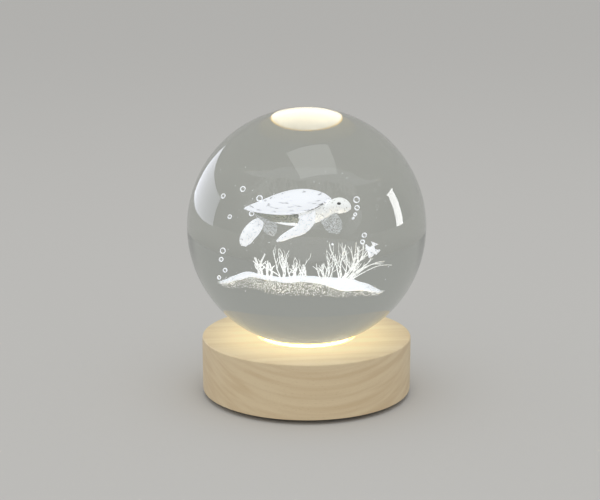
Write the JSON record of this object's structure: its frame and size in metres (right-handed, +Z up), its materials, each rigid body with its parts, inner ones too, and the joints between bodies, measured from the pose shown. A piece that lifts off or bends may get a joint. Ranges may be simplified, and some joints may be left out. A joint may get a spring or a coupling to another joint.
{
  "type": "crystal ball lamp",
  "caption": "Clear glass ball resting in the lit recess of a round turned wood base, with a light board, power socket and push switch inside.",
  "frame": {"origin": "on the table, at the centre of the base's circle, under the centre of the ball", "axes": "+Z up, +Y to the rear where the socket and the switch are, +X to the viewer's right"},
  "size_m": [0.08, 0.08, 0.0971],
  "materials": {
    "crystal": "polished clear crystal glass",
    "beech": "fine sanded, unvarnished",
    "clear_acrylic": "clear, polished faces",
    "white_board": "white solder mask",
    "green_board": "green solder mask",
    "led_phosphor": "warm phosphor gel, lit",
    "black_plastic": "fine moulded grain",
    "black_epoxy": "moulded epoxy",
    "ceramic": "glazed ceramic",
    "steel": "nickel plated",
    "rubber": "matt",
    "red_wire": "satin insulation",
    "black_wire": "satin insulation"
  },
  "bodies": {
    "base": {"bottom_cover": "black_plastic", "cover_screw_1": "steel", "cover_screw_2": "steel", "cover_screw_3": "steel", "driver_chip": "black_epoxy", "lead_black": "black_wire", "lead_red": "red_wire", "led_1": "led_phosphor", "led_2": "led_phosphor", "led_3": "led_phosphor", "led_4": "led_phosphor", "led_board": "white_board", "led_board_screw_1": "steel", "led_board_screw_2": "steel", "led_board_screw_3": "steel", "light_window": "clear_acrylic", "power_board": "green_board", "power_board_screw_1": "steel", "power_board_screw_2": "steel", "power_socket": "steel", "resistor_1": "ceramic", "resistor_2": "ceramic", "rubber_foot_1": "rubber", "rubber_foot_2": "rubber", "rubber_foot_3": "rubber", "rubber_foot_4": "rubber", "socket_tongue": "black_plastic", "switch_body": "black_plastic", "wood_base": "beech"},
    "ball": {"crystal_ball": "crystal"},
    "button": {"switch_button": "black_plastic", "switch_plunger": "black_plastic"}
  },
  "joints": [
    {"name": "ball_lift", "type": "slide", "parent": "base", "child": "ball", "axis": [0, 0, 1], "range_m": [0, 0.06]},
    {"name": "button_press", "type": "slide", "parent": "base", "child": "button", "axis": [0, -1, 0], "range_m": [0, 0.0012], "stiffness_N_per_m": 1200}
  ]
}
